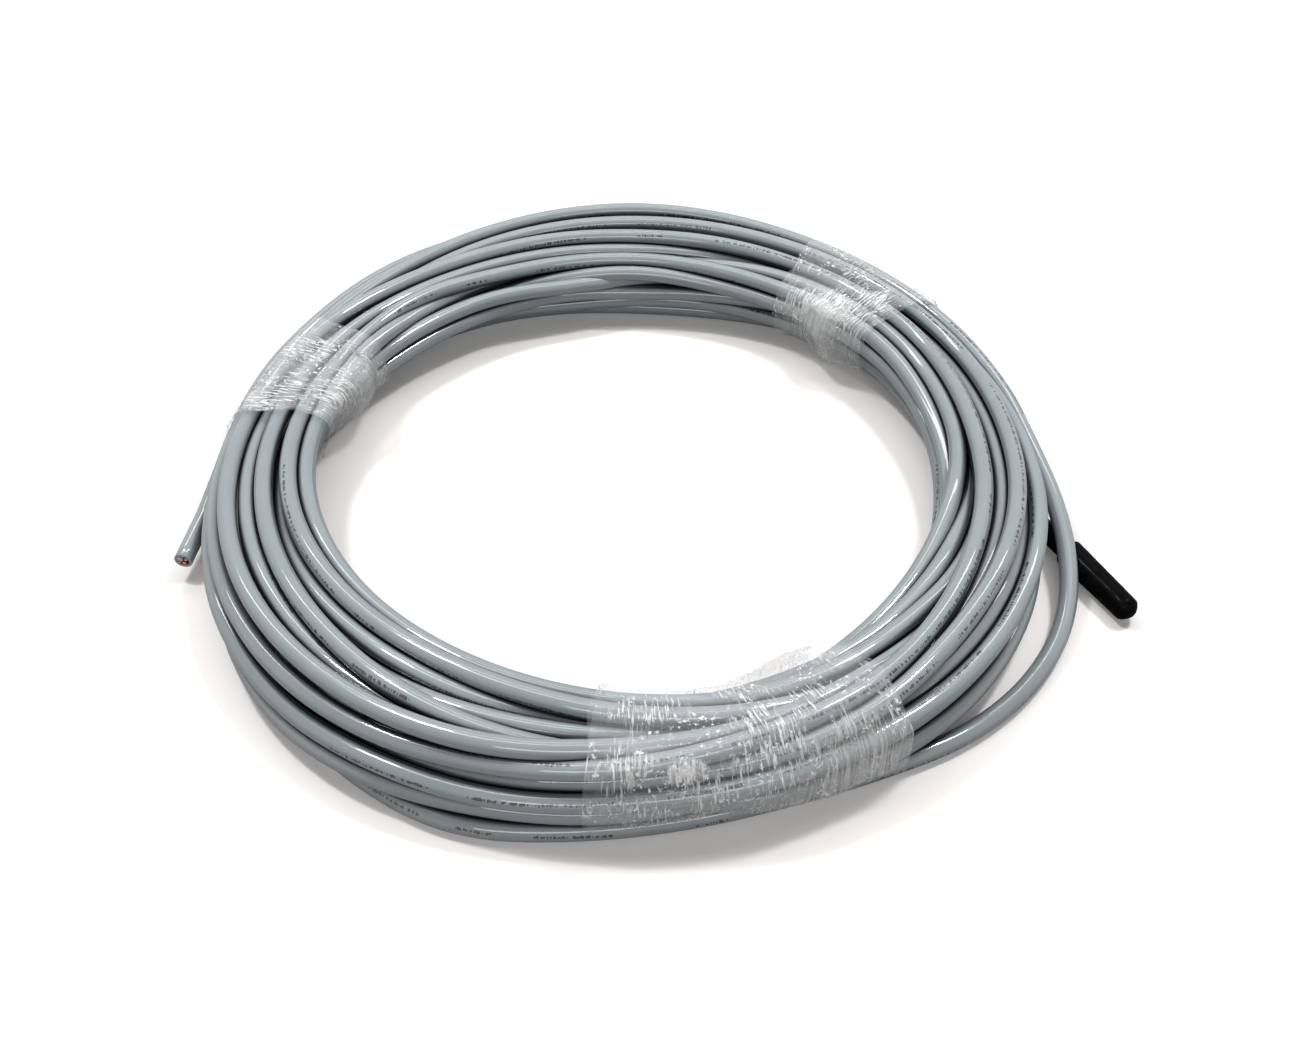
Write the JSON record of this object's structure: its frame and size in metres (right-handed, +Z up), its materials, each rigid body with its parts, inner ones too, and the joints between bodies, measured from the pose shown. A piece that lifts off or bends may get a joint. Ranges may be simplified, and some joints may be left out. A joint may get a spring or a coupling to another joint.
{
  "type": "coiled data cable",
  "caption": "Coil of grey screened data cable bound by clear film bands, with one capped end and one bare cut end, for wiring up equipment.",
  "frame": {"origin": "centre of the coil's eye, on the surface that the coil lies on", "axes": "+Z up through the eye, -Y towards the front band, +X towards the capped end"},
  "size_m": [0.324, 0.2983, 0.0298],
  "materials": {
    "jacket": "semi-gloss light blue-grey PVC",
    "clear_film": "clear crinkled stretch film, several layers",
    "black_cap": "black moulded cap, satin with glossy wrinkles",
    "black_sleeve": "black heat-shrunk sleeve",
    "foil": "bright screening foil",
    "core_red": "red core insulation",
    "core_black": "black core insulation",
    "core_white": "white core insulation",
    "copper": "fine bare copper strands",
    "tinned_wire": "tinned drain wire"
  },
  "bodies": {
    "root": {"cable_coil": "jacket", "loose_turn": "jacket", "capped_tail": "jacket", "cut_tail": "jacket", "jacket_end": "jacket", "shield_foil": "foil", "core_red": "core_red", "core_black": "core_black", "core_white": "core_white", "conductor_red": "copper", "conductor_black": "copper", "conductor_white": "copper", "drain_wire": "tinned_wire", "end_sleeve": "black_sleeve", "end_cap": "black_cap", "film_band_left": "clear_film", "film_band_rear": "clear_film", "film_band_front": "clear_film"}
  },
  "joints": []
}
